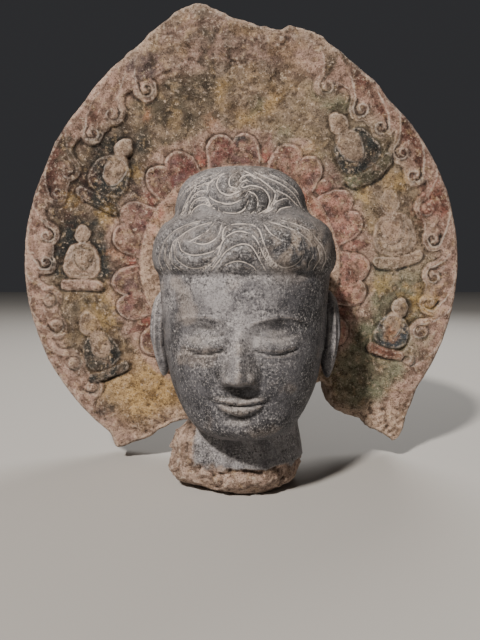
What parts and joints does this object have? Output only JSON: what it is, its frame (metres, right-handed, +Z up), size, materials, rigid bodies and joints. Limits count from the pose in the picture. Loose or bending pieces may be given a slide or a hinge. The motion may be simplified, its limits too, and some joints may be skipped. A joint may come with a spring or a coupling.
{
  "type": "stone buddha head",
  "caption": "Carved stone head with wavy hair, crown bump and long ears on a broken round halo with lotus petals, small seated figures and scrolls; it stands on its neck break.",
  "frame": {"origin": "on the ground, under the middle of the bounding box", "axes": "+Z up, the face looks along -Y, +X to the right as seen from the front"},
  "size_m": [0.553, 0.265, 0.577],
  "materials": {
    "carved_stone": "matte weathered limestone, blue-grey on the head, with worn red, ochre and green paint on the halo"
  },
  "bodies": {
    "root": {"buddha_head_with_halo": "carved_stone"}
  },
  "joints": []
}
